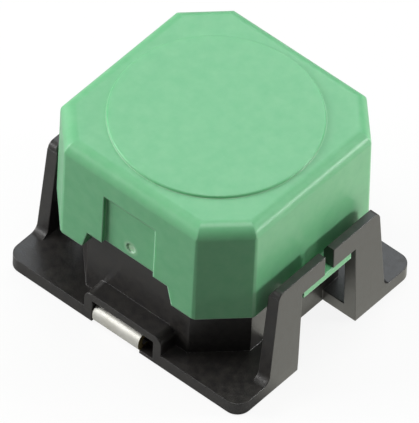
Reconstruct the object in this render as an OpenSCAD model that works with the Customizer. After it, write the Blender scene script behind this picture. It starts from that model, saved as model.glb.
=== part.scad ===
// Surface-mounted tactile push button switch with a large square cap.
// Z is up, the board is the plane z = 0 and the origin is under the centre of the cap.
// The cap's lips hook under the beams of four guide posts, a coil spring lifts the cap,
// and the spring presses an actuator that snaps a metal dome over two contacts.

/* [Cap] */
// Width of the cap across two opposite flats, at its skirt
cap_w = 10.14; // [9.6:0.02:10.6]
// Height of the cap from its skirt to its top face
cap_h = 4.95; // [4.7:0.05:5.4]
// Leg of the four corner chamfers
cap_corner = 1.67; // [1.4:0.01:1.9]
// Thickness of the cap's side walls
cap_wall = 0.62; // [0.55:0.01:0.7]
// Thickness of the cap's roof
cap_roof = 0.8; // [0.7:0.05:0.9]
// Radius of the rounded edge round the top face
cap_edge_r = 0.6; // [0.3:0.05:0.8]
// How much the upright edges between flats and chamfers are blunted
cap_upright = 0.03; // [0.02:0.01:0.06]
// Draft of each side, from the skirt up to the top
cap_draft = 0.05; // [0.02:0.01:0.1]
// Diameter of the raised disc on the top face
disc_d = 8.5; // [7.5:0.05:8.8]
// Height of the raised disc
disc_h = 0.13; // [0.08:0.01:0.2]
// How far the cap travels when it is pressed
cap_travel = 2.6; // [2.2:0.1:2.8]
// Thickness of the four ribs under the roof
roof_rib_t = 0.35; // [0.3:0.05:0.5]
// Gap between those ribs and the block when the cap is fully down
rib_gap = 0.2; // [0.15:0.01:0.25]

/* [Cap sides] */
// Width of the sunk panel over each cut-out
panel_w = 2.62; // [2.2:0.02:3]
// Distance from the top face down to the panel's upper edge
panel_drop = 1.45; // [1.2:0.05:1.7]
// Depth of the sunk panel
panel_depth = 0.2; // [0.1:0.02:0.26]
// Diameter of the gate mark in the panel
gate_d = 0.42; // [0.3:0.02:0.6]
// Height of the gate mark above the cut-out
gate_rise = 0.5; // [0.4:0.05:0.8]
// Width of the retaining lips on the other two sides
lip_w = 2.8; // [2.4:0.05:3.2]
// Height of the retaining lips
lip_t = 0.45; // [0.35:0.05:0.6]
// Lead-in bevel along the lower edge of the lips
lip_bevel = 0.1; // [0.05:0.01:0.15]

/* [Guide posts] */
// Gap between the cap's side and the posts
post_gap = 0.35; // [0.3:0.01:0.45]
// Thickness of the posts at their feet
post_t = 0.58; // [0.5:0.01:0.7]
// How far the outer face leans in at the top
post_lean = 0.07; // [0.04:0.01:0.12]
// Width of each post at its top
post_w = 1.39; // [1.2:0.01:1.6]
// How much each post widens outwards at its foot
post_flare = 0.53; // [0.3:0.01:0.6]
// Radius of the posts' upper corners
post_corner_r = 0.28; // [0.1:0.02:0.4]
// Radius where the posts' outer edges run into the flange
post_root_r = 0.4; // [0.2:0.05:0.5]
// Height of the beams that hold the cap's lips down
beam_h = 1; // [0.8:0.05:1.2]
// Width of the slot between the two beams of one side
beam_slot = 0.52; // [0.4:0.02:0.7]
// Lead-in chamfer along the inner top edge of posts and beams
lead_in = 0.16; // [0.1:0.01:0.2]
// Gap on each side of a lip, between the posts, under the beams
lip_side_gap = 0.18; // [0.1:0.01:0.25]
// Extra gap on each side at the foot of the opening
opening_draft = 0.15; // [0.05:0.01:0.2]
// Gap between the lips and the beams at rest
lip_rest_gap = 0.08; // [0.03:0.01:0.1]
// How far the lips stay inside the beams' outer face
lip_inset = 0.06; // [0.03:0.01:0.12]

/* [Base] */
// Thickness of the flange
flange_t = 0.6; // [0.5:0.05:0.7]
// Gap between the skirt and the flange when the cap is fully down
skirt_gap = 0.5; // [0.4:0.05:0.7]
// Height of the plastic's underside above the board
standoff = 0.05; // [0.02:0.01:0.08]
// Radius of the flange's corners
base_corner_r = 0.6; // [0.3:0.05:0.9]
// Gap between the block and the cap's inner wall
guide_gap = 0.12; // [0.08:0.01:0.16]
// Gap between the block's corner chamfers and the cap's inner wall
corner_gap = 0.45; // [0.4:0.01:0.6]
// Gap between the block's top and the cap's roof when the cap is fully down
roof_gap = 0.5; // [0.4:0.05:0.6]
// Chamfer round the block's top edge
block_edge = 0.15; // [0.1:0.01:0.2]
// How far the two collars reach out from the block
collar_reach = 0.87; // [0.75:0.01:1]
// Height of the collars above the flange
collar_h = 0.9; // [0.8:0.05:1]
// Thickness of a collar's two legs
collar_leg = 0.4; // [0.36:0.01:0.6]
// Radius of a collar's upper corners
collar_r = 0.36; // [0.2:0.02:0.45]
// Depth of the arch that is sunk into the collar's face
arch_depth = 0.5; // [0.4:0.01:0.55]
// Gap between a terminal's top and the arch over it
arch_gap = 0.34; // [0.25:0.01:0.36]
// Height of the sill beside the terminal, under the arch
arch_sill = 0.15; // [0.1:0.01:0.2]
// Gap on each side between a cut-out and the collar, at the skirt
cutout_gap_low = 0.32; // [0.25:0.01:0.4]
// Gap on each side between a cut-out and the collar, at the cut-out's top
cutout_gap_high = 0.08; // [0.06:0.01:0.15]
// Gap over the collar when the cap is fully down
cutout_rise = 0.5; // [0.3:0.05:0.6]
// Gap between the contact dome and the wall of the round well that holds it
well_gap = 0.1; // [0.06:0.01:0.15]

/* [Terminals] */
// Thickness of the terminals' strip
lead_t = 0.25; // [0.2:0.01:0.28]
// Width of a terminal outside the base
lead_w = 2.36; // [2.1:0.02:2.44]
// How far each terminal sits off the middle of its side
lead_shift = 0.34; // [0.1:0.01:0.36]
// Gap between a terminal and the nearer leg of its collar
lead_gap = 0.05; // [0.03:0.01:0.08]
// Height of the strip's underside where it enters the base
lead_rise = 0.6; // [0.55:0.01:0.65]
// Inner radius of the terminals' bends
lead_bend_r = 0.1; // [0.05:0.01:0.14]
// Length of the foot that is soldered to the board
foot_len = 1; // [0.8:0.05:1.2]
// How far the terminals stand out from the base's side
lead_proud = 0.02; // [0.01:0.01:0.05]
// Width of the strip inside the base
strip_w = 1.1; // [0.9:0.05:1.3]
// Gap between that strip and the ring it passes through
strip_gap = 0.25; // [0.2:0.01:0.3]
// Radius of the pad under the dome's centre
pad_r = 0.75; // [0.6:0.05:0.9]
// How far the ring under the dome's feet reaches in past them
ring_inner = 0.5; // [0.4:0.05:0.7]
// How far that ring reaches out past them
ring_outer = 0.4; // [0.3:0.05:0.6]

/* [Contact dome] */
// Radius of the circle through the dome's four feet
dome_r = 2.3; // [2.2:0.01:2.3]
// Height of the free dome under its centre
dome_h = 0.3; // [0.25:0.01:0.4]
// Thickness of the dome's metal
dome_t = 0.08; // [0.06:0.01:0.1]
// How much is cut off each of the dome's four sides
dome_cut = 0.55; // [0.4:0.05:0.6]
// How far the dome's centre moves before it meets the pad
dome_stroke = 0.22; // [0.18:0.01:0.24]

/* [Actuator and spring] */
// Running gap between moving round parts and their guides
run_gap = 0.05; // [0.03:0.01:0.08]
// Thickness of the actuator's flange
actuator_t = 0.3; // [0.25:0.05:0.4]
// Height of the nub under the actuator
nub_h = 0.15; // [0.12:0.01:0.2]
// Radius of that nub
nub_r = 0.55; // [0.4:0.05:0.7]
// Gap between the nub and the dome at rest
nub_gap = 0.02; // [0.01:0.01:0.04]
// Gap between the spring and the actuator's post inside it
pin_gap = 0.12; // [0.1:0.01:0.2]
// Height of that post above the flange
post_pin_h = 1.3; // [1:0.1:1.4]
// Gap between the cap's stem and the actuator when the cap is fully down
stem_gap = 0.1; // [0.06:0.01:0.15]
// Wall of the cap's hollow stem
stem_wall = 0.45; // [0.4:0.01:0.48]
// Gap between the spring and the stem's bore round it
coil_clearance = 0.11; // [0.08:0.01:0.13]
// Diameter of the spring's wire
wire_d = 0.2; // [0.16:0.01:0.24]
// Number of open coils between the two closed end coils
open_coils = 6.5; // [5:0.5:8]
// Gap between the turns of the closed end coils
coil_gap = 0.03; // [0.01:0.01:0.05]

/* [Guide cover] */
// Thickness of the cover
cover_t = 0.6; // [0.5:0.05:0.7]
// Width of the ledge round the well that the cover sits on
cover_ledge = 0.85; // [0.7:0.05:0.95]
// Gap between the cover's rim and its seat
cover_gap = 0.02; // [0.01:0.01:0.04]
// Length of the sleeve under the cover
sleeve_len = 0.8; // [0.6:0.05:1]
// Wall of that sleeve
sleeve_wall = 0.42; // [0.35:0.01:0.45]
// Gap between the sleeve and the wall of the well
sleeve_gap = 0.33; // [0.28:0.01:0.4]

/* [Hidden] */
$fn = 48;
over = 0.2;

// Heights, from the board up
flange_top = standoff + flange_t;
floor_z = lead_rise + lead_t;
collar_top = flange_top + collar_h;
arch_top = floor_z + arch_gap;
skirt_z = flange_top + skirt_gap + cap_travel;
cap_top = skirt_z + cap_h;
roof_z = cap_top - cap_roof;
block_top = roof_z - cap_travel - roof_gap;
lip_top = skirt_z + lip_t;
beam_z = lip_top + lip_rest_gap;
arm_top = beam_z + beam_h;
cutout_top = collar_top + cap_travel + cutout_rise;
panel_top = cap_top - panel_drop;

// Widths, from the cap out
cap_half = cap_w / 2;
cap_diagonal = (2 * cap_half - cap_corner) / sqrt(2);
cap_blunt = cap_half * cos(22.5) + (cap_half - cap_corner) * sin(22.5) - cap_upright;
hollow_half = cap_half - cap_wall;
hollow_corner = 2 * hollow_half - sqrt(2) * (cap_diagonal - cap_wall);
block_half = hollow_half - guide_gap;
block_corner = 2 * block_half - sqrt(2) * (cap_diagonal - cap_wall - corner_gap);
post_in = cap_half + post_gap;
half_x = post_in + post_t;
half_y = block_half + collar_reach;
lip_end = half_x - post_lean - lip_inset;
opening_half = lip_w / 2 + lip_side_gap;
opening_foot = opening_half + opening_draft;
post_out = opening_half + post_w;
post_foot = post_out + post_flare;
lead_edge = lead_w / 2 + lead_gap;
arch_half = lead_shift + lead_edge;
collar_half = arch_half + collar_leg;

// Radii, from the dome out and from the well in
ring_in_r = dome_r - ring_inner;
ring_out_r = dome_r + ring_outer;
well_r = dome_r + well_gap;
cover_r = well_r + cover_ledge;
sleeve_r = well_r - sleeve_gap;
sleeve_bore_r = sleeve_r - sleeve_wall;
stem_r = sleeve_bore_r - run_gap;
stem_bore_r = stem_r - stem_wall;
coil_r = stem_bore_r - coil_clearance - wire_d / 2;
post_pin_r = coil_r - wire_d / 2 - pin_gap;

// The dome and what stands on it
dome_half = dome_r - dome_cut;
dome_sphere_r = (dome_r * dome_r + dome_h * dome_h) / (2 * dome_h);
dome_centre_z = floor_z + dome_h - dome_sphere_r;
actuator_z = floor_z + dome_h + dome_t + nub_gap;
actuator_top = actuator_z + nub_h + actuator_t;
stem_z = actuator_top - dome_stroke + stem_gap + cap_travel;
cover_z = block_top - cover_t;
roof_rib_h = roof_gap - rib_gap;

// The eight corners of a square with chamfered corners
function octagon(half, leg) = [
    [half - leg, -half], [half, leg - half], [half, half - leg], [half - leg, half],
    [leg - half, half], [-half, half - leg], [-half, leg - half], [leg - half, -half]
];

// A rectangle whose corners are rounded with radius r
module rounded_rectangle(length, width, r) {
    square([length, width - 2 * r], center = true);
    square([length - 2 * r, width], center = true);
    for (x = [-1, 1], y = [-1, 1])
        translate([x * (length / 2 - r), y * (width / 2 - r)]) circle(r);
}

// Stands a drawing up: its second axis becomes Z and it is as thick as length, along Y
module along_y(length) {
    rotate([90, 0, 0]) linear_extrude(length, center = true) children();
}

// Stands a drawing up: its first axis becomes Y, its second Z, and it grows from x0 to x1
module along_x(x0, x1) {
    translate([x0, 0, 0]) rotate([90, 0, 90]) linear_extrude(x1 - x0) children();
}

// Places a copy on each of two opposite sides
module both_sides() {
    children();
    rotate(180) children();
}

// The outline of the cap across two opposite sides, with its rounded upper edges
module cap_section(half) {
    top_half = half - cap_draft;
    polygon([
        [-half, skirt_z], [half, skirt_z], [top_half, cap_top - cap_edge_r],
        [top_half - cap_edge_r, cap_top], [cap_edge_r - top_half, cap_top],
        [-top_half, cap_top - cap_edge_r]
    ]);
    for (side = [-1, 1])
        translate([side * (top_half - cap_edge_r), cap_top - cap_edge_r])
            circle(cap_edge_r, $fn = 96);
}

// The outline across two opposite upright edges, where a narrow face blunts them
module blunt_section() {
    draft = cap_draft * (cap_h + 2 * over) / cap_h;
    polygon([
        [-cap_blunt, skirt_z - over], [cap_blunt, skirt_z - over],
        [cap_blunt - draft, cap_top + over], [draft - cap_blunt, cap_top + over]
    ]);
}

// The cap's outer form: four pairs of sides meet in one octagon
module cap_form() {
    intersection() {
        along_y(2 * cap_w) cap_section(cap_half);
        rotate(90) along_y(2 * cap_w) cap_section(cap_half);
        rotate(45) along_y(2 * cap_w) cap_section(cap_diagonal);
        rotate(135) along_y(2 * cap_w) cap_section(cap_diagonal);
        rotate(22.5) along_y(2 * cap_w) blunt_section();
        rotate(67.5) along_y(2 * cap_w) blunt_section();
        rotate(112.5) along_y(2 * cap_w) blunt_section();
        rotate(157.5) along_y(2 * cap_w) blunt_section();
    }
}

// The raised disc, with a small rounded edge
module cap_disc() {
    edge = disc_h / 2;
    translate([0, 0, cap_top - over]) rotate_extrude($fn = 120) {
        square([disc_d / 2, over + disc_h - edge]);
        square([disc_d / 2 - edge, over + disc_h]);
        translate([disc_d / 2 - edge, over + disc_h - edge]) circle(edge);
    }
}

// The cut-out that lets the skirt pass over a collar, with the sunk panel above it
module side_cutout() {
    low = collar_half + cutout_gap_low;
    high = collar_half + cutout_gap_high;
    slope = (low - high) / (cutout_top - skirt_z);
    translate([0, -cap_half, 0]) along_y(2 * cap_wall + over)
        polygon([
            [-low - slope * over, skirt_z - over], [low + slope * over, skirt_z - over],
            [high, cutout_top], [-high, cutout_top]
        ]);
    translate([-panel_w / 2, -cap_half - over, cutout_top - over])
        cube([panel_w, over + panel_depth, panel_top - cutout_top + over]);
    translate([0, panel_depth - cap_half, cutout_top + gate_rise])
        rotate([90, 0, 0]) cylinder(d = gate_d, h = panel_depth / 2, center = true);
}

// A lip that hooks under the beams, with a lead-in along its lower edge
module retaining_lip() {
    root = cap_half - cap_wall / 2;
    along_y(lip_w)
        polygon([
            [root, skirt_z], [lip_end - lip_bevel, skirt_z], [lip_end, skirt_z + lip_bevel],
            [lip_end, lip_top], [root, lip_top]
        ]);
}

// Four ribs between the stem and the chamfered walls, under the roof
module roof_ribs() {
    reach = cap_diagonal - cap_wall / 2;
    for (turn = [45, 135])
        rotate(turn) translate([-reach, -roof_rib_t / 2, roof_z - roof_rib_h])
            cube([2 * reach, roof_rib_t, roof_rib_h + over]);
}

module button_cap() {
    color("#8dcba3") difference() {
        union() {
            difference() {
                cap_form();
                translate([0, 0, skirt_z - over]) linear_extrude(roof_z - skirt_z + over)
                    polygon(octagon(hollow_half, hollow_corner));
            }
            translate([0, 0, stem_z]) cylinder(r = stem_r, h = roof_z - stem_z + over);
            roof_ribs();
            both_sides() retaining_lip();
            cap_disc();
        }
        translate([0, 0, stem_z - over]) cylinder(r = stem_bore_r, h = roof_z - stem_z + over);
        both_sides() side_cutout();
    }
}

// One post with its beam, seen along X: flared outwards and rounded into the flange
module post_outline() {
    rise = arm_top - standoff;
    root_y = post_foot - post_flare * (flange_top + post_root_r - standoff) / rise;
    corner_z = arm_top - post_corner_r;
    corner_y = post_out - post_corner_r;
    difference() {
        polygon([
            [beam_slot / 2, standoff], [post_foot, standoff],
            [post_out, arm_top], [beam_slot / 2, arm_top]
        ]);
        translate([corner_y, corner_z]) square(2 * post_corner_r);
    }
    translate([corner_y, corner_z]) circle(post_corner_r);
    difference() {
        translate([opening_foot, standoff])
            square([root_y + post_root_r - opening_foot, flange_t + post_root_r]);
        translate([root_y + post_root_r, flange_top + post_root_r]) circle(post_root_r);
    }
}

// The posts' section, seen along Y: upright inside, leaning outside, with a lead-in on top
module arm_section() {
    polygon([
        [post_in, standoff], [half_x, standoff], [half_x, flange_top],
        [half_x - post_lean, arm_top], [post_in + lead_in, arm_top],
        [post_in, arm_top - 2 * lead_in]
    ]);
}

// The two posts and beams of one side
module guide_arms() {
    intersection() {
        along_x(post_in - over, half_x + over) {
            post_outline();
            mirror([1, 0]) post_outline();
        }
        along_y(2 * half_y) arm_section();
    }
}

// The opening between two posts, which runs down through the flange as a notch
module arm_opening() {
    along_x(block_half, half_x + over)
        polygon([
            [-opening_foot, -over], [opening_foot, -over],
            [opening_half, beam_z], [-opening_half, beam_z]
        ]);
}

// The block across two opposite sides, with a chamfer round its top
module block_section() {
    polygon([
        [-block_half, 0], [block_half, 0], [block_half, block_top - block_edge],
        [block_half - block_edge, block_top], [block_edge - block_half, block_top],
        [-block_half, block_top - block_edge]
    ]);
}

// The octagonal block that fills the cap's skirt and holds the contacts
module block() {
    intersection() {
        translate([0, 0, standoff]) linear_extrude(block_top - standoff)
            polygon(octagon(block_half, block_corner));
        along_y(2 * half_y) block_section();
        rotate(90) along_y(2 * half_x) block_section();
    }
}

// The collar that stands over a terminal
module collar() {
    round_z = collar_top - collar_r;
    translate([0, (over - half_y - block_half) / 2, 0]) along_y(half_y - block_half + over) {
        translate([-collar_half, standoff]) square([2 * collar_half, round_z - standoff]);
        translate([collar_r - collar_half, standoff])
            square([2 * (collar_half - collar_r), collar_top - standoff]);
        for (side = [-1, 1])
            translate([side * (collar_half - collar_r), round_z]) circle(collar_r);
    }
}

// The arch in a collar's face, and the pocket under the base for the terminal's foot
module terminal_pocket() {
    sill_z = standoff + arch_sill;
    foot_end = lead_t + lead_bend_r + foot_len + lead_gap;
    translate([-arch_half, -half_y - over, sill_z])
        cube([2 * arch_half, arch_depth + over, arch_top - sill_z]);
    translate([-lead_shift - lead_edge, -half_y - over, -over])
        cube([2 * lead_edge, foot_end + over, lead_t + standoff + over]);
}

module switch_housing() {
    color("#232227") difference() {
        union() {
            translate([0, 0, standoff]) linear_extrude(flange_t)
                rounded_rectangle(2 * half_x, 2 * half_y, base_corner_r);
            block();
            both_sides() {
                guide_arms();
                collar();
            }
        }
        both_sides() {
            arm_opening();
            terminal_pocket();
        }
        translate([0, 0, floor_z]) cylinder(r = well_r, h = block_top);
        translate([0, 0, cover_z]) cylinder(r = cover_r + cover_gap, h = block_top);
        front_strip();
        back_strip();
    }
}

// The strip's section where it bends, from level to upright
module strip_bend() {
    outer_r = lead_bend_r + lead_t;
    intersection() {
        difference() {
            circle(outer_r);
            circle(lead_bend_r);
        }
        translate([-outer_r, -outer_r]) square(outer_r);
    }
}

// A terminal outside the base, seen along X: foot, riser and the start of its strip
module lead_outline() {
    face = -half_y - lead_proud;
    bend_y = face + lead_t + lead_bend_r;
    low_z = lead_t + lead_bend_r;
    high_z = lead_rise - lead_bend_r;
    translate([bend_y, 0]) square([foot_len, lead_t]);
    translate([bend_y, low_z]) strip_bend();
    translate([face, low_z]) square([lead_t, high_z - low_z]);
    translate([bend_y, high_z]) mirror([0, 1]) strip_bend();
    translate([bend_y, lead_rise]) square([arch_depth - half_y - bend_y, lead_t]);
}

module lead() {
    along_x(-lead_shift - lead_w / 2, lead_w / 2 - lead_shift) lead_outline();
}

// The strip from the front terminal to the ring that carries the dome's feet
module front_strip() {
    ring_gap = 2 * (lead_shift + strip_w / 2 + strip_gap);
    start = arch_depth - half_y - over / 2;
    translate([-lead_shift - strip_w / 2, start, lead_rise])
        cube([strip_w, -start - (ring_in_r + ring_out_r) / 2, lead_t]);
    translate([0, 0, lead_rise]) difference() {
        cylinder(r = ring_out_r, h = lead_t);
        translate([0, 0, -over]) cylinder(r = ring_in_r, h = lead_t + 2 * over);
        translate([-ring_gap / 2, 0, -over]) cube([ring_gap, 2 * ring_out_r, lead_t + 2 * over]);
    }
}

// The strip from the back terminal to the pad under the dome's centre
module back_strip() {
    translate([lead_shift - strip_w / 2, 0, lead_rise])
        cube([strip_w, half_y - arch_depth + over / 2, lead_t]);
    translate([0, 0, lead_rise]) cylinder(r = pad_r, h = lead_t);
}

module front_terminal() {
    color("#d9d8c6") {
        lead();
        front_strip();
    }
}

module back_terminal() {
    color("#d9d8c6") {
        rotate(180) lead();
        back_strip();
        translate([0, 0, lead_rise]) cylinder(r = pad_r / 2, h = lead_t + dome_h - dome_stroke);
    }
}

// A thin round dome, cut square so that it stands on four feet
module contact_dome() {
    color("#c9ccd0") intersection() {
        translate([0, 0, dome_centre_z]) difference() {
            sphere(dome_sphere_r + dome_t, $fn = 120);
            sphere(dome_sphere_r, $fn = 120);
        }
        translate([0, 0, floor_z]) cylinder(r = dome_r, h = dome_h + 2 * dome_t);
        translate([-dome_half, -dome_half, floor_z])
            cube([2 * dome_half, 2 * dome_half, dome_h + 2 * dome_t]);
    }
}

module actuator() {
    color("#e6e2d6") {
        translate([0, 0, actuator_z]) cylinder(r = nub_r, h = nub_h + actuator_t);
        translate([0, 0, actuator_z + nub_h]) cylinder(r = well_r - run_gap, h = actuator_t);
        translate([0, 0, actuator_top - over]) cylinder(r = post_pin_r, h = post_pin_h + over);
    }
}

// Height of the wire's centre after a number of turns: closed, open, closed
function coil_height(turn) =
    let (
        close = wire_d + coil_gap,
        open = (roof_z - actuator_top - wire_d - 2 * close) / open_coils,
        low = min(turn, 1),
        middle = min(max(turn - 1, 0), open_coils),
        high = max(turn - 1 - open_coils, 0)
    )
    low * close + middle * open + high * close;

// One corner of the wire's section, at a turn and at an angle round the wire
function wire_point(turn, angle) =
    let (reach = coil_r + wire_d / 2 * cos(angle))
    [
        reach * cos(360 * turn), reach * sin(360 * turn),
        actuator_top + wire_d / 2 + coil_height(turn) + wire_d / 2 * sin(angle)
    ];

module return_spring() {
    steps_per_turn = 16;
    sides = 8;
    steps = ceil((open_coils + 2) * steps_per_turn);
    color("#b9bcc2") polyhedron(
        points = [
            for (i = [0:steps], k = [0:sides - 1])
                wire_point(i * (open_coils + 2) / steps, 360 * k / sides + 180 / sides)
        ],
        faces = concat(
            [[for (k = [0:sides - 1]) k]],
            [[for (k = [0:sides - 1]) (steps + 1) * sides - 1 - k]],
            [
                for (i = [0:steps - 1], k = [0:sides - 1], half = [0, 1])
                    let (a = i * sides + k, b = i * sides + (k + 1) % sides)
                    half == 0 ? [a, a + sides, b] : [b, a + sides, b + sides]
            ]
        )
    );
}

// The cover that closes the well and guides the cap's stem
module guide_cover() {
    color("#2b2a2f") difference() {
        union() {
            translate([0, 0, cover_z]) cylinder(r = cover_r, h = cover_t);
            translate([0, 0, cover_z - sleeve_len])
                cylinder(r = sleeve_r, h = sleeve_len + over);
        }
        translate([0, 0, cover_z - sleeve_len - over])
            cylinder(r = sleeve_bore_r, h = sleeve_len + cover_t + 2 * over);
    }
}

switch_housing();
front_terminal();
back_terminal();
contact_dome();
actuator();
return_spring();
guide_cover();
button_cap();
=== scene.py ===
"""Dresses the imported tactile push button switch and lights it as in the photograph."""
import math

import bpy
from mathutils import Matrix, Vector

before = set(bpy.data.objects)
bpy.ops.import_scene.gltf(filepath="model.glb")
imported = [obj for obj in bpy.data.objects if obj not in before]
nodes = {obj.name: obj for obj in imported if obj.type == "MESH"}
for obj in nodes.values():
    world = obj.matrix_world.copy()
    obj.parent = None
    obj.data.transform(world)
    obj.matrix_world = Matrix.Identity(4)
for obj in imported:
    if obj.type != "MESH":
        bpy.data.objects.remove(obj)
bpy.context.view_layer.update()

MM = 0.001

# The cap's sides over the two terminals, the depth of the panel sunk into each, and in each panel
# the gate mark, with the blush that the hot plastic left round it, painted paler than the blush alone so
# that it also paints light over the shade in the gate mark's recess
cap_half = max(abs(vertex.co.y) for vertex in nodes["button_cap"].data.vertices)
PANEL_DEPTH = 0.2 * MM
GATE_Z = 5.15 * MM
BLUSH_AND_PAINTED_LIGHT_R = 0.4 * MM
BLUSH_AND_PAINTED_LIGHT_CORE_R = 0.12 * MM

# The camera, found by fitting the switch's own edges to the photograph
IMAGE_W = 419
CAMERA_AZIMUTH = 39.15
CAMERA_ELEVATION = 47.55
CAMERA_ROLL = 2.47
CAMERA_DISTANCE = 500 * MM
PIXELS_PER_MM = 25.76
# The point of the switch that the scale holds for, and how far it lies off the picture's centre
AIM = Vector((0, 0, 3.55)) * MM
AIM_RIGHT = 0.11 * MM
AIM_UP = 0.155 * MM
SENSOR_W = 36


def direction(azimuth, elevation):
    """The way from the switch to something seen at an azimuth and an elevation, in degrees."""
    a = math.radians(azimuth)
    e = math.radians(elevation)
    return Vector((math.sin(a) * math.cos(e), -math.cos(a) * math.cos(e), math.sin(e)))


def add_camera():
    back = direction(CAMERA_AZIMUTH, CAMERA_ELEVATION)
    level_right = direction(CAMERA_AZIMUTH + 90, 0)
    level_up = back.cross(level_right)
    roll = math.radians(CAMERA_ROLL)
    right = math.cos(roll) * level_right + math.sin(roll) * level_up
    up = math.cos(roll) * level_up - math.sin(roll) * level_right
    place = AIM - AIM_RIGHT * right - AIM_UP * up + CAMERA_DISTANCE * back
    data = bpy.data.cameras.new("photo_camera")
    data.sensor_fit = "HORIZONTAL"
    data.sensor_width = SENSOR_W
    data.lens = PIXELS_PER_MM * CAMERA_DISTANCE / MM * SENSOR_W / IMAGE_W
    data.clip_start = 10 * MM
    data.clip_end = 10000 * MM
    camera = bpy.data.objects.new("photo_camera", data)
    turn = Matrix((right, up, back)).transposed().to_4x4()
    camera.matrix_world = Matrix.Translation(place) @ turn
    bpy.context.scene.collection.objects.link(camera)
    bpy.context.scene.camera = camera


def linear(hex_code):
    """An sRGB hex colour as the linear RGBA that the shaders take."""
    def channel(text):
        value = int(text, 16) / 255
        return value / 12.92 if value <= 0.04045 else ((value + 0.055) / 1.055) ** 2.4
    digits = hex_code.lstrip("#")
    return tuple(channel(digits[i:i + 2]) for i in (0, 2, 4)) + (1.0,)


# A Mix node has a set of sockets for each kind of data. These are the ones that mix two colours.
MIX_A = 6
MIX_B = 7
MIX_RESULT = 2


def add_node(tree, kind, settings=None, inputs=None):
    """Adds a shader node: its settings, and for its inputs a value or the socket that feeds each."""
    node = tree.nodes.new(kind)
    for name, value in (settings or {}).items():
        setattr(node, name, value)
    for key, value in (inputs or {}).items():
        if isinstance(value, bpy.types.NodeSocket):
            tree.links.new(value, node.inputs[key])
        else:
            node.inputs[key].default_value = value
    return node


def new_material(name):
    material = bpy.data.materials.new(name)
    material.use_nodes = True
    tree = material.node_tree
    tree.nodes.clear()
    output = tree.nodes.new("ShaderNodeOutputMaterial")
    return material, tree, output


def mottle(tree, place, size_mm, detail):
    """A soft random pattern that fills 0 to 1, with its largest patches about one size across."""
    texture = add_node(tree, "ShaderNodeTexNoise",
                       inputs={"Vector": place, "Scale": 1 / (size_mm * MM), "Detail": detail})
    # Hardly any of the noise lies outside 0.1 to 0.9
    full = add_node(tree, "ShaderNodeMapRange",
                    inputs={"Value": texture.outputs["Fac"], "From Min": 0.1, "From Max": 0.9})
    return full.outputs["Result"]


def grained(tree, place, normal, size_mm, height_mm):
    """The given normals with a mould's spark-eroded grain on them, drawn coarse enough to show."""
    grain = add_node(tree, "ShaderNodeTexNoise",
                     inputs={"Vector": place, "Scale": 1 / (size_mm * MM), "Detail": 2.0})
    bump = add_node(tree, "ShaderNodeBump",
                    inputs={"Height": grain.outputs["Fac"], "Normal": normal,
                            "Distance": height_mm * MM})
    return bump.outputs["Normal"]


def green_abs():
    """ABS moulded in a spark-eroded mould: satin, nearly even green that lets a little light in. Along
    the edges a painted highlight makes the skin paler. Over each gate mark the skin is paler with the
    blush that the hot plastic leaves, painted stronger than that blush so that it also paints light over
    the shade in the gate mark's recess."""
    material, tree, output = new_material("moulded_green_abs")
    place = add_node(tree, "ShaderNodeTexCoord").outputs["Object"]
    share = mottle(tree, place, size_mm=0.5, detail=4.0)
    plain = add_node(tree, "ShaderNodeMix", {"data_type": "RGBA"},
                     {0: share, MIX_A: linear("#6db985"), MIX_B: linear("#81c494")})

    # Without the signs of its coordinates, a point on either side is measured to one gate mark
    unsigned = add_node(tree, "ShaderNodeVectorMath", {"operation": "ABSOLUTE"}, {0: place})
    to_gate = add_node(tree, "ShaderNodeVectorMath", {"operation": "DISTANCE"},
                       {0: unsigned.outputs["Vector"], 1: (0, cap_half - PANEL_DEPTH, GATE_Z)})
    # The blush is partly real and partly painted light: it is paler than the real blush, to lighten the
    # shaded wall of the gate mark's recess
    blush_and_painted_light = add_node(tree, "ShaderNodeMapRange",
                     inputs={"Value": to_gate.outputs["Value"], "From Min": BLUSH_AND_PAINTED_LIGHT_R,
                             "From Max": BLUSH_AND_PAINTED_LIGHT_CORE_R, "To Max": 0.75})
    with_blush_and_painted_light = add_node(tree, "ShaderNodeMix", {"data_type": "RGBA"},
                       {0: blush_and_painted_light.outputs["Result"], MIX_A: plain.outputs[MIX_RESULT],
                        MIX_B: linear("#bfe3c0")})

    # Where the rounded normal differs from the flat one is an edge. There a paler colour is a painted
    # highlight, standing in for the light that the rounded edge reflects
    rounded = add_node(tree, "ShaderNodeBevel", {"samples": 8}, {"Radius": 0.09 * MM}).outputs["Normal"]
    flat = add_node(tree, "ShaderNodeNewGeometry").outputs["Normal"]
    likeness = add_node(tree, "ShaderNodeVectorMath", {"operation": "DOT_PRODUCT"},
                        {0: rounded, 1: flat})
    painted_edge_highlight = add_node(tree, "ShaderNodeMapRange",
                    inputs={"Value": likeness.outputs["Value"], "From Min": 0.995, "From Max": 0.93,
                            "To Max": 0.5})
    colour = add_node(tree, "ShaderNodeMix", {"data_type": "RGBA"},
                      {0: painted_edge_highlight.outputs["Result"], MIX_A: with_blush_and_painted_light.outputs[MIX_RESULT],
                       MIX_B: linear("#b9e2c4")})
    roughness = add_node(tree, "ShaderNodeMapRange",
                         inputs={"Value": share, "To Min": 0.27, "To Max": 0.37})
    shader = add_node(tree, "ShaderNodeBsdfPrincipled",
                      inputs={"Base Color": colour.outputs[MIX_RESULT],
                              "Roughness": roughness.outputs["Result"],
                              "Normal": grained(tree, place, rounded, size_mm=0.06, height_mm=0.0012),
                              "Specular IOR Level": 0.43, "Subsurface Weight": 0.3,
                              "Subsurface Scale": 1.0,
                              "Subsurface Radius": (0.3 * MM, 0.5 * MM, 0.35 * MM)})
    tree.links.new(shader.outputs["BSDF"], output.inputs["Surface"])
    return material


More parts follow.
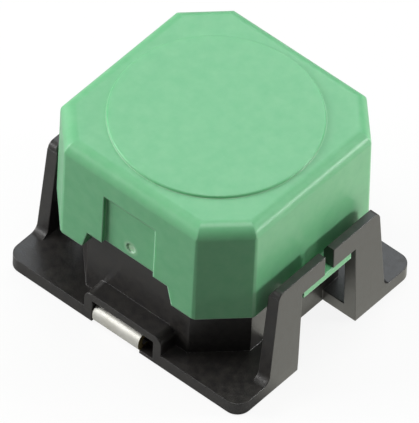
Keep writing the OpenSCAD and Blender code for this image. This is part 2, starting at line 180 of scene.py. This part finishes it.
def black_lcp():
    """Liquid crystal polymer filled with glass fibre, moulded: satin black, with a faint brown and grey
    mottle where the fibres lie near its skin."""
    material, tree, output = new_material("moulded_glass_filled_lcp")
    place = add_node(tree, "ShaderNodeTexCoord").outputs["Object"]
    share = mottle(tree, place, size_mm=0.3, detail=4.0)
    colour = add_node(tree, "ShaderNodeMix", {"data_type": "RGBA"},
                      {0: share, MIX_A: linear("#1a191c"), MIX_B: linear("#35322e")})
    roughness = add_node(tree, "ShaderNodeMapRange",
                         inputs={"Value": share, "To Min": 0.26, "To Max": 0.46})
    rounded = add_node(tree, "ShaderNodeBevel", {"samples": 8}, {"Radius": 0.06 * MM}).outputs["Normal"]
    shader = add_node(tree, "ShaderNodeBsdfPrincipled",
                      inputs={"Base Color": colour.outputs[MIX_RESULT],
                              "Roughness": roughness.outputs["Result"],
                              "Normal": grained(tree, place, rounded, size_mm=0.07, height_mm=0.005),
                              "IOR": 1.66})
    tree.links.new(shader.outputs["BSDF"], output.inputs["Surface"])
    return material


def natural_acetal():
    """Uncoloured acetal, moulded: milky and slightly yellow, with a waxy skin."""
    material, tree, output = new_material("moulded_natural_acetal")
    place = add_node(tree, "ShaderNodeTexCoord").outputs["Object"]
    colour = add_node(tree, "ShaderNodeMix", {"data_type": "RGBA"},
                      {0: mottle(tree, place, size_mm=0.9, detail=3.0),
                       MIX_A: linear("#e4dfd0"), MIX_B: linear("#ece8dc")})
    rounded = add_node(tree, "ShaderNodeBevel", {"samples": 8}, {"Radius": 0.03 * MM}).outputs["Normal"]
    shader = add_node(tree, "ShaderNodeBsdfPrincipled",
                      inputs={"Base Color": colour.outputs[MIX_RESULT], "Roughness": 0.45,
                              "Normal": grained(tree, place, rounded, size_mm=0.06, height_mm=0.0015),
                              "Subsurface Weight": 0.3, "Subsurface Scale": 1.0,
                              "Subsurface Radius": (0.5 * MM, 0.45 * MM, 0.35 * MM)})
    tree.links.new(shader.outputs["BSDF"], output.inputs["Surface"])
    return material


def silver_plated_brass():
    """Brass strip, plated with matt silver before it was stamped: pale faces with a slight tarnish, and
    bare brass on the edges that the stamping cut."""
    material, tree, output = new_material("silver_plated_brass_strip")
    coordinates = add_node(tree, "ShaderNodeTexCoord")
    share = mottle(tree, coordinates.outputs["Object"], size_mm=0.5, detail=4.0)
    plate = add_node(tree, "ShaderNodeMix", {"data_type": "RGBA"},
                     {0: share, MIX_A: linear("#eae8dc"), MIX_B: linear("#f8f7f2")})

    # The strip's cut edges are the ones that face along X
    facing = add_node(tree, "ShaderNodeSeparateXYZ", inputs={"Vector": coordinates.outputs["Normal"]})
    sideways = add_node(tree, "ShaderNodeMath", {"operation": "ABSOLUTE"}, {0: facing.outputs["X"]})
    cut = add_node(tree, "ShaderNodeMapRange",
                   inputs={"Value": sideways.outputs["Value"], "From Min": 0.7, "From Max": 0.9})
    colour = add_node(tree, "ShaderNodeMix", {"data_type": "RGBA"},
                      {0: cut.outputs["Result"], MIX_A: plate.outputs[MIX_RESULT],
                       MIX_B: linear("#c9b77e")})
    roughness = add_node(tree, "ShaderNodeMapRange",
                         inputs={"Value": share, "To Min": 0.38, "To Max": 0.52})
    rounded = add_node(tree, "ShaderNodeBevel", {"samples": 8}, {"Radius": 0.03 * MM})
    # The matt plating scatters part of the light, so it is less metallic than polished silver
    shader = add_node(tree, "ShaderNodeBsdfPrincipled",
                      inputs={"Base Color": colour.outputs[MIX_RESULT],
                              "Roughness": roughness.outputs["Result"],
                              "Normal": rounded.outputs["Normal"], "Metallic": 0.6})
    tree.links.new(shader.outputs["BSDF"], output.inputs["Surface"])
    return material


def stainless_steel():
    """Stainless spring steel, cold rolled or drawn: bright grey, with a fairly sharp shine."""
    material, tree, output = new_material("cold_drawn_stainless_steel")
    place = add_node(tree, "ShaderNodeTexCoord").outputs["Object"]
    roughness = add_node(tree, "ShaderNodeMapRange",
                         inputs={"Value": mottle(tree, place, size_mm=0.1, detail=2.0),
                                 "To Min": 0.16, "To Max": 0.36})
    shader = add_node(tree, "ShaderNodeBsdfPrincipled",
                      inputs={"Base Color": linear("#c3c4c6"), "Metallic": 1.0,
                              "Roughness": roughness.outputs["Result"]})
    tree.links.new(shader.outputs["BSDF"], output.inputs["Surface"])
    return material


def dress(names, material):
    for name in names:
        mesh = nodes[name].data
        mesh.materials.clear()
        mesh.materials.append(material)


FLOOR_SIZE = 900 * MM
FLOOR_DROP = 0.02 * MM
# How much of the floor's seen colour is plain white; the rest is lit paper, with the real shadow
WHITE_SHARE = 0.88
# Paper to the right of the switch and behind it is lit more: its nearer edges, their blur, its level
LIT_RIGHT = 5 * MM
LIT_BEHIND = -2.5 * MM
LIT_BLUR = 1.5 * MM
LIT_LEVEL = 1.05


def lit_patch(tree, place):
    """1 on the part of the paper that is lit more, fading to 0 over its blurred edges."""
    axes = add_node(tree, "ShaderNodeSeparateXYZ", inputs={"Vector": place})
    right = add_node(tree, "ShaderNodeMapRange",
                     inputs={"Value": axes.outputs["X"], "From Min": LIT_RIGHT - LIT_BLUR,
                             "From Max": LIT_RIGHT})
    behind = add_node(tree, "ShaderNodeMapRange",
                      inputs={"Value": axes.outputs["Y"], "From Min": LIT_BEHIND - LIT_BLUR,
                              "From Max": LIT_BEHIND})
    both = add_node(tree, "ShaderNodeMath", {"operation": "MULTIPLY"},
                    {0: right.outputs["Result"], 1: behind.outputs["Result"]})
    return both.outputs["Value"]


def floor_material():
    """Pale paper: white with some of the real shadow where it is seen, dimmer as a source of light."""
    material, tree, output = new_material("white_paper")
    ray = add_node(tree, "ShaderNodeLightPath")
    seen = ray.outputs["Is Camera Ray"]
    place = add_node(tree, "ShaderNodeTexCoord").outputs["Object"]
    dim = add_node(tree, "ShaderNodeMix", {"data_type": "RGBA"},
                   {0: ray.outputs["Is Diffuse Ray"], MIX_A: linear("#b0b0ae"),
                    MIX_B: linear("#5c5c5a")})
    colour = add_node(tree, "ShaderNodeMix", {"data_type": "RGBA"},
                      {0: seen, MIX_A: dim.outputs[MIX_RESULT], MIX_B: linear("#f4f4f2")})
    paper = add_node(tree, "ShaderNodeBsdfDiffuse", inputs={"Color": colour.outputs[MIX_RESULT]})
    white = add_node(tree, "ShaderNodeEmission", inputs={"Color": linear("#ffffff"), "Strength": 1.0})
    white_share = add_node(tree, "ShaderNodeMath", {"operation": "MULTIPLY"}, {0: seen, 1: WHITE_SHARE})
    as_seen = add_node(tree, "ShaderNodeMixShader",
                       inputs={0: white_share.outputs["Value"], 1: paper.outputs["BSDF"],
                               2: white.outputs["Emission"]})

    unseen = add_node(tree, "ShaderNodeMath", {"operation": "SUBTRACT"}, {0: 1.0, 1: seen})
    lit_share = add_node(tree, "ShaderNodeMath", {"operation": "MULTIPLY"},
                         {0: lit_patch(tree, place), 1: unseen.outputs["Value"]})
    lit = add_node(tree, "ShaderNodeEmission",
                   inputs={"Color": linear("#fffff4"), "Strength": LIT_LEVEL})
    whole = add_node(tree, "ShaderNodeMixShader",
                     inputs={0: lit_share.outputs["Value"], 1: as_seen.outputs["Shader"],
                             2: lit.outputs["Emission"]})
    tree.links.new(whole.outputs["Shader"], output.inputs["Surface"])
    return material


def add_floor():
    bpy.ops.mesh.primitive_plane_add(size=FLOOR_SIZE, location=(0, 0, -FLOOR_DROP))
    floor = bpy.context.object
    floor.name = "paper_floor"
    floor.data.materials.append(floor_material())


LAMP_DISTANCE = 150 * MM


def add_softbox(name, azimuth, elevation, size_mm, level, tint="#ffffff"):
    """A square lamp aimed at the switch; level is how bright it alone makes a white face turned to it."""
    data = bpy.data.lights.new(name, "AREA")
    data.color = linear(tint)[:3]
    data.shape = "SQUARE"
    data.size = size_mm * MM
    data.energy = level * math.pi * math.pi * LAMP_DISTANCE * LAMP_DISTANCE
    lamp = bpy.data.objects.new(name, data)
    away = direction(azimuth, elevation)
    lamp.location = AIM + LAMP_DISTANCE * away
    lamp.rotation_euler = away.to_track_quat("Z", "Y").to_euler()
    bpy.context.scene.collection.objects.link(lamp)


def add_world(fill):
    """An even room: white where the camera looks past the floor, and dim as a light."""
    world = bpy.data.worlds.new("studio")
    bpy.context.scene.world = world
    world.use_nodes = True
    tree = world.node_tree
    tree.nodes.clear()
    output = tree.nodes.new("ShaderNodeOutputWorld")
    ray = add_node(tree, "ShaderNodeLightPath")
    strength = add_node(tree, "ShaderNodeMapRange",
                        inputs={"Value": ray.outputs["Is Camera Ray"], "To Min": fill, "To Max": 1.0})
    room = add_node(tree, "ShaderNodeBackground",
                    inputs={"Color": linear("#ffffff"), "Strength": strength.outputs["Result"]})
    tree.links.new(room.outputs["Background"], output.inputs["Surface"])


add_camera()
bpy.context.scene.view_settings.view_transform = "Standard"
add_floor()
add_world(fill=0.08)
add_softbox("overhead", azimuth=30, elevation=86, size_mm=80, level=0.43)
add_softbox("back", azimuth=205, elevation=45, size_mm=90, level=0.27, tint="#f4faff")
add_softbox("back_right", azimuth=142, elevation=38, size_mm=90, level=0.17)
add_softbox("left", azimuth=302, elevation=20, size_mm=110, level=1.08)
add_softbox("right", azimuth=130, elevation=9, size_mm=24, level=0.47)

dress(["button_cap"], green_abs())
dress(["switch_housing", "guide_cover"], black_lcp())
dress(["actuator"], natural_acetal())
dress(["front_terminal", "back_terminal"], silver_plated_brass())
dress(["contact_dome", "return_spring"], stainless_steel())
